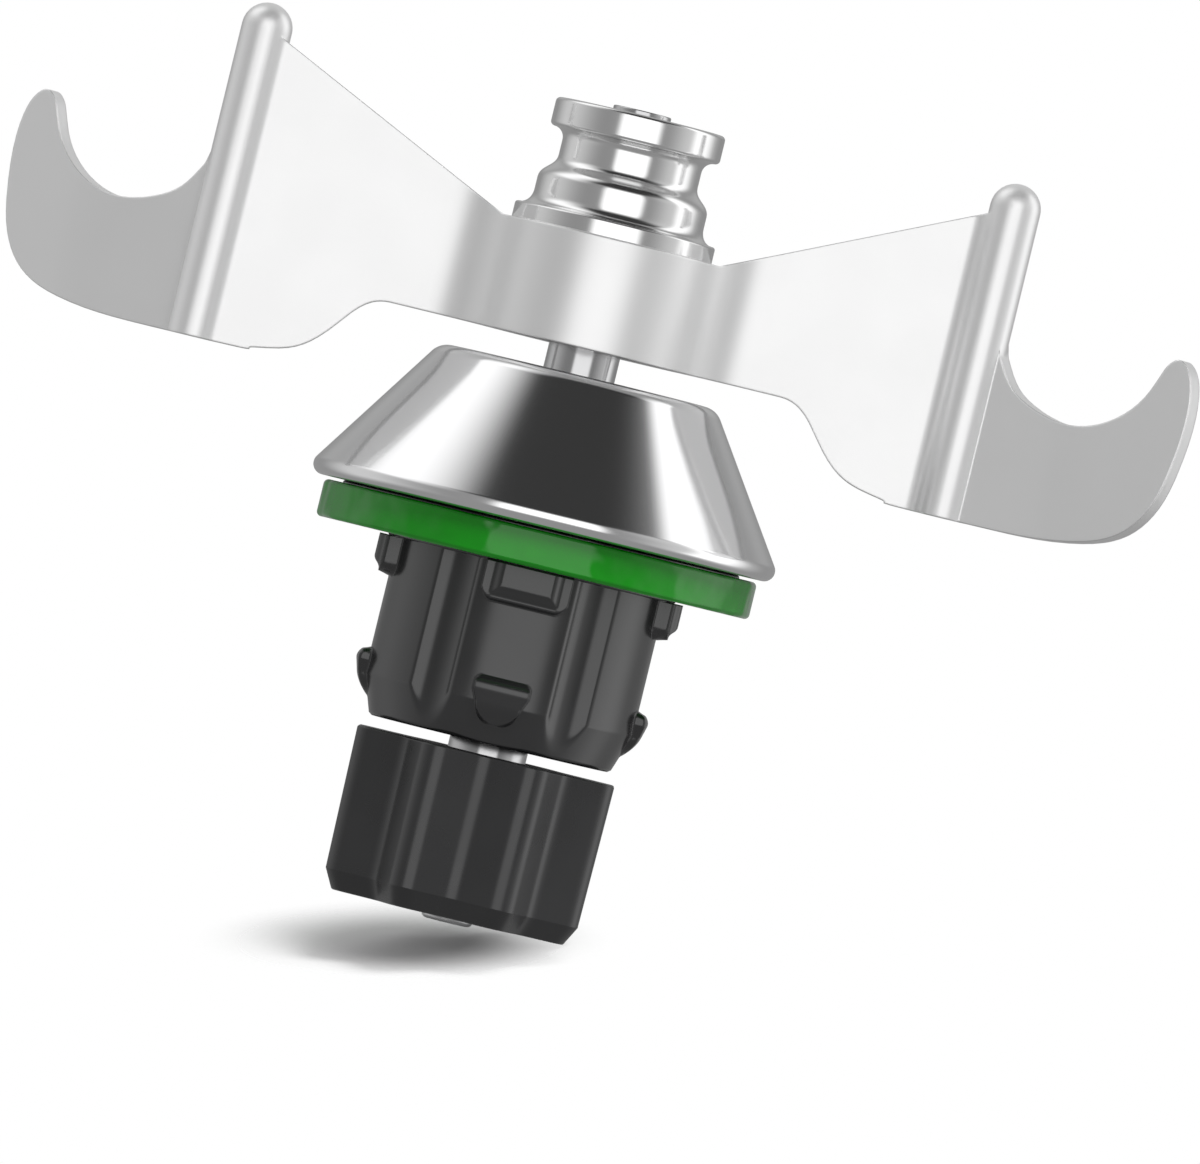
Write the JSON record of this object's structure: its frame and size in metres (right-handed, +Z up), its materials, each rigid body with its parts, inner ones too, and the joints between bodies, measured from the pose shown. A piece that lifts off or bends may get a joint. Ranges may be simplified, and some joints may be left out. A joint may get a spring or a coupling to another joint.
{
  "type": "dough mixer blade",
  "caption": "Kneading blade with bent hooks on a drive shaft that turns in a sealed bearing housing with a cone cover, a bayonet base and a star-shaped drive coupler.",
  "frame": {"origin": "on the turning axis at the lower end of the drive shaft", "axes": "+Z up along the turning axis, +X along the blade's span, front towards -Y"},
  "size_m": [0.1214, 0.0474, 0.0852],
  "materials": {
    "blade_steel": "satin cast stainless steel",
    "polished_steel": "polished turned stainless steel",
    "mirror_steel": "mirror-polished stainless sheet",
    "green_seal": "satin moulded silicone",
    "housing_plastic": "matt moulded black plastic",
    "coupler_plastic": "matt moulded black plastic",
    "bearing_steel": "ground steel",
    "ball_steel": "polished steel",
    "cage_brass": "stamped brass",
    "spring_steel": "blackened spring steel",
    "seal_rubber": "black rubber"
  },
  "bodies": {
    "housing": {"cone_cover": "mirror_steel", "seal_ring": "green_seal", "bearing_housing": "housing_plastic", "upper_outer_race": "bearing_steel", "lower_outer_race": "bearing_steel", "outer_spacer": "bearing_steel", "housing_clip": "spring_steel", "shaft_seal": "seal_rubber", "garter_spring": "spring_steel", "seal_case": "bearing_steel"},
    "rotor": {"drive_shaft": "polished_steel", "kneading_blade": "blade_steel", "hub_nut": "polished_steel", "nut_seal": "seal_rubber", "drive_coupler": "coupler_plastic", "coupler_clip": "spring_steel", "shaft_clip": "spring_steel", "upper_inner_race": "bearing_steel", "lower_inner_race": "bearing_steel", "inner_spacer": "bearing_steel"},
    "upper_ball_set": {"upper_balls": "ball_steel", "upper_cage": "cage_brass"},
    "lower_ball_set": {"lower_balls": "ball_steel", "lower_cage": "cage_brass"}
  },
  "joints": [
    {"name": "blade_spin", "type": "hinge", "parent": "housing", "child": "rotor", "pos_m": [0, 0, 0], "axis": [0, 0, 1], "continuous": true},
    {"name": "upper_ball_spin", "type": "hinge", "parent": "housing", "child": "upper_ball_set", "pos_m": [0, 0, 0], "axis": [0, 0, 1], "continuous": true},
    {"name": "lower_ball_spin", "type": "hinge", "parent": "housing", "child": "lower_ball_set", "pos_m": [0, 0, 0], "axis": [0, 0, 1], "continuous": true}
  ],
  "couplings": [
    {"joint": "upper_ball_spin", "follows": "blade_spin", "ratio": 0.4008},
    {"joint": "lower_ball_spin", "follows": "blade_spin", "ratio": 0.4008}
  ]
}
